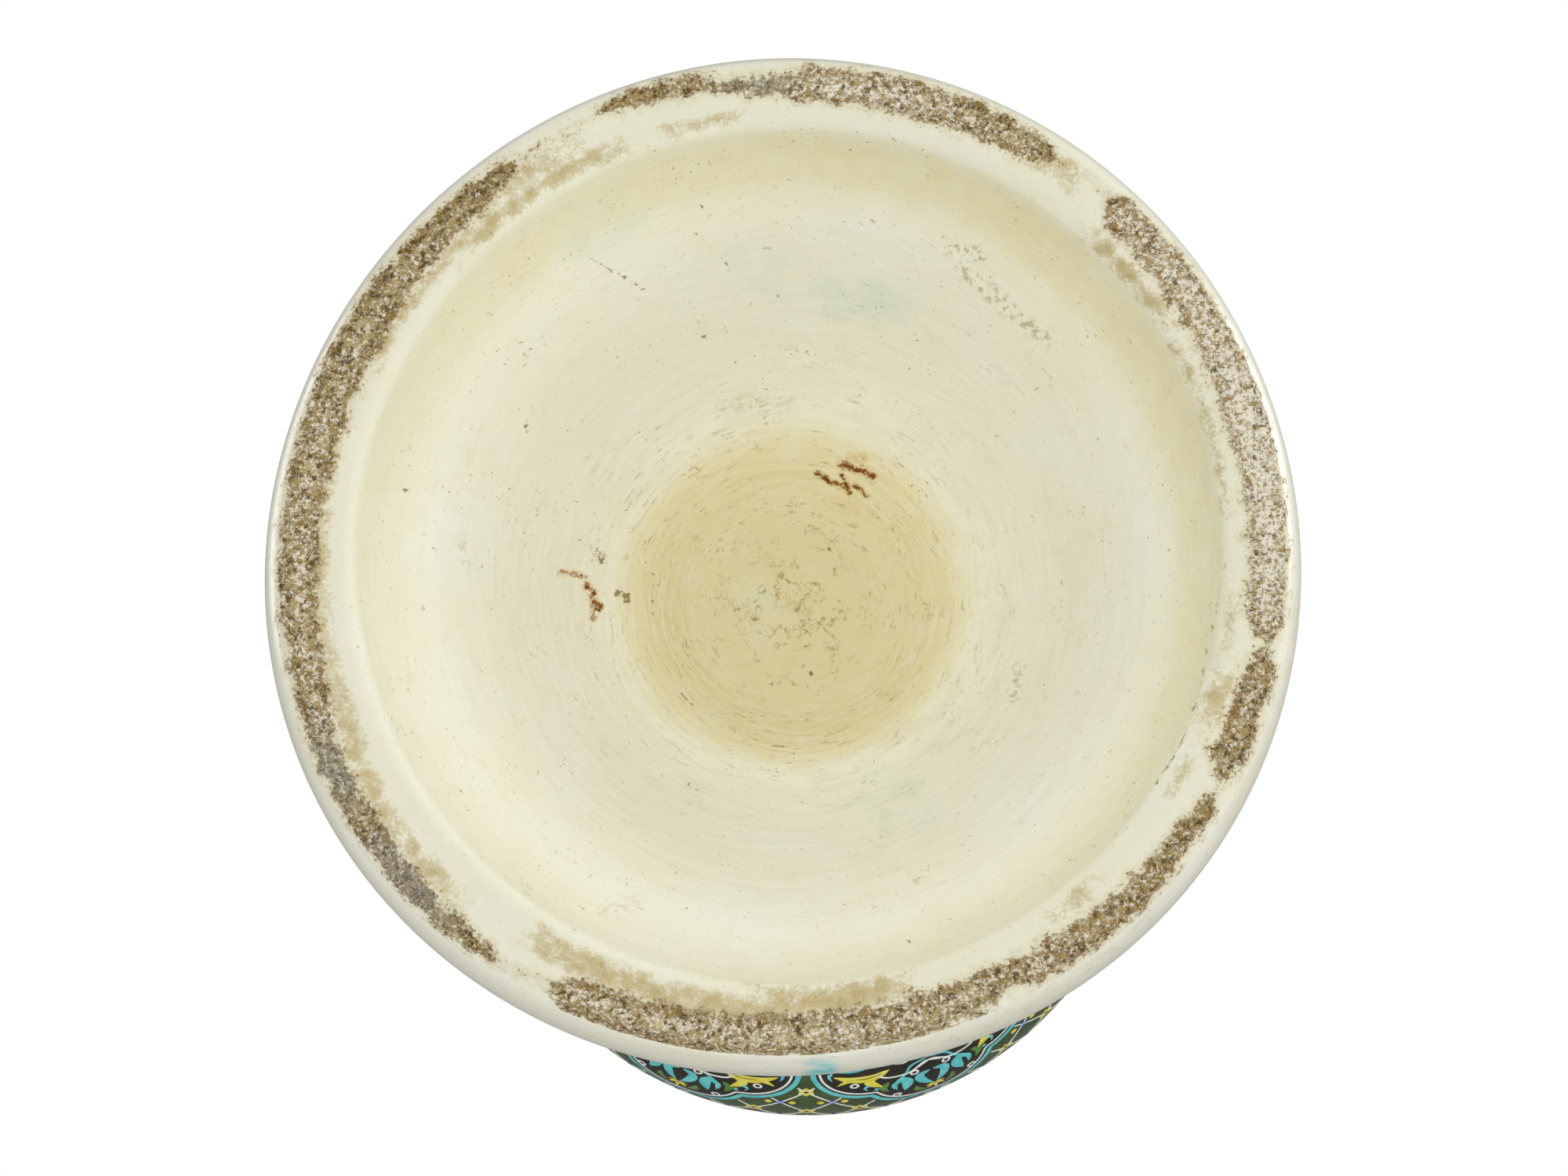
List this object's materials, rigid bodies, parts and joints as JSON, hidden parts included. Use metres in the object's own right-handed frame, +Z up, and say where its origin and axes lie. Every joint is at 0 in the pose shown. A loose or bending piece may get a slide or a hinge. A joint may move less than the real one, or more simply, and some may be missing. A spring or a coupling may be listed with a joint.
{
  "type": "glazed ceramic vase",
  "caption": "Tall baluster vase of glazed earthenware on a wide hollow trumpet foot, with painted arabesque medallions, for flowers or display.",
  "frame": {"origin": "on the table under the vase, on its axis, in the plane of the foot ring's flat face", "axes": "+Z up along the axis of turning, towards the mouth"},
  "size_m": [0.19, 0.19, 0.5343],
  "materials": {
    "bare_clay": "worn, gritty unglazed earthenware",
    "cream_glaze": "glossy cream glaze with fine specks",
    "painted_glaze": "glossy brown-black ground under painted arabesques",
    "dried_slip": "matt fired slip inside the joints"
  },
  "bodies": {
    "root": {"foot_ring": "bare_clay", "ring_slip_bed": "dried_slip", "foot": "cream_glaze", "foot_slip_bed": "dried_slip", "lower_body": "painted_glaze", "belly_slip_bed": "dried_slip", "upper_body": "painted_glaze", "neck_slip_bed": "dried_slip", "neck": "painted_glaze"}
  },
  "joints": []
}
